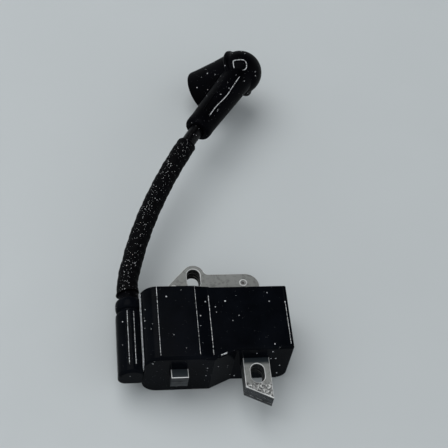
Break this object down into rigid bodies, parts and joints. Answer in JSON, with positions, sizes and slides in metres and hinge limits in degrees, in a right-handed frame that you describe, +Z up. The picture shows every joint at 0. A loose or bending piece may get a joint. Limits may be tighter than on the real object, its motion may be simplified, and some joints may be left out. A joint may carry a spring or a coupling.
{
  "type": "ignition coil",
  "caption": "Small-engine flywheel ignition coil: potted module on a two-pole laminated core with slotted mounting ears, high-tension lead in a sleeve and an elbow spark plug boot.",
  "frame": {"origin": "middle of the module's base, without the lead and boot: centre in X and Y of the case and core, underside in Z", "axes": "+X from the outlet tower towards the plain end of the case, +Y from the pole tips (flywheel side) towards the yoke, +Z up from the potted underside"},
  "size_m": [0.059, 0.1436, 0.0269],
  "materials": {
    "case": "moulded black nylon, satin gloss",
    "potting": "cured black epoxy, slightly glossy meniscus",
    "core_steel": "punched electrical steel, grey, matt",
    "rivet": "dull steel rivet",
    "bobbin": "natural glass-filled nylon",
    "copper": "enamelled copper wire",
    "brass": "brass strip and pin",
    "board": "green solder mask",
    "component": "moulded component bodies",
    "film": "dipped film capacitor",
    "seal": "black moulded rubber",
    "lead": "smooth black lead insulation",
    "sleeve": "black braided abrasion sleeve, rough",
    "boot": "black moulded rubber, satin",
    "spring": "bright spring wire"
  },
  "bodies": {
    "module": {"case": "case", "potting_compound": "potting", "lamination_01": "core_steel", "lamination_02": "core_steel", "lamination_03": "core_steel", "lamination_04": "core_steel", "lamination_05": "core_steel", "lamination_06": "core_steel", "lamination_07": "core_steel", "lamination_08": "core_steel", "lamination_09": "core_steel", "lamination_10": "core_steel", "lamination_11": "core_steel", "lamination_12": "core_steel", "core_rivet_1": "rivet", "core_rivet_2": "rivet", "core_rivet_3": "rivet", "coil_bobbin": "bobbin", "secondary_bobbin": "bobbin", "charge_winding": "copper", "primary_winding": "copper", "secondary_winding_1": "copper", "secondary_winding_2": "copper", "secondary_winding_3": "copper", "secondary_winding_4": "copper", "coil_tail_wire_1": "copper", "coil_tail_wire_2": "copper", "secondary_link": "copper", "lead_spike": "brass", "earth_spring": "brass", "circuit_board": "board", "control_chip": "component", "rectifier_diode_1": "component", "rectifier_diode_2": "component", "clamp_diode": "component", "trigger_resistor": "component", "timing_resistor": "component", "thyristor": "component", "storage_capacitor": "film", "lead_seal": "seal", "lead_insulation": "lead", "lead_conductor": "copper", "lead_sleeve": "sleeve"},
    "boot": {"plug_boot": "boot", "terminal_spring": "spring"}
  },
  "joints": [
    {"name": "boot_swivel", "type": "hinge", "parent": "module", "child": "boot", "pos_m": [0.02423, 0.10927, 0.01985], "axis": [0.5676, 0.8233, 0], "range_deg": [-90, 90]}
  ]
}
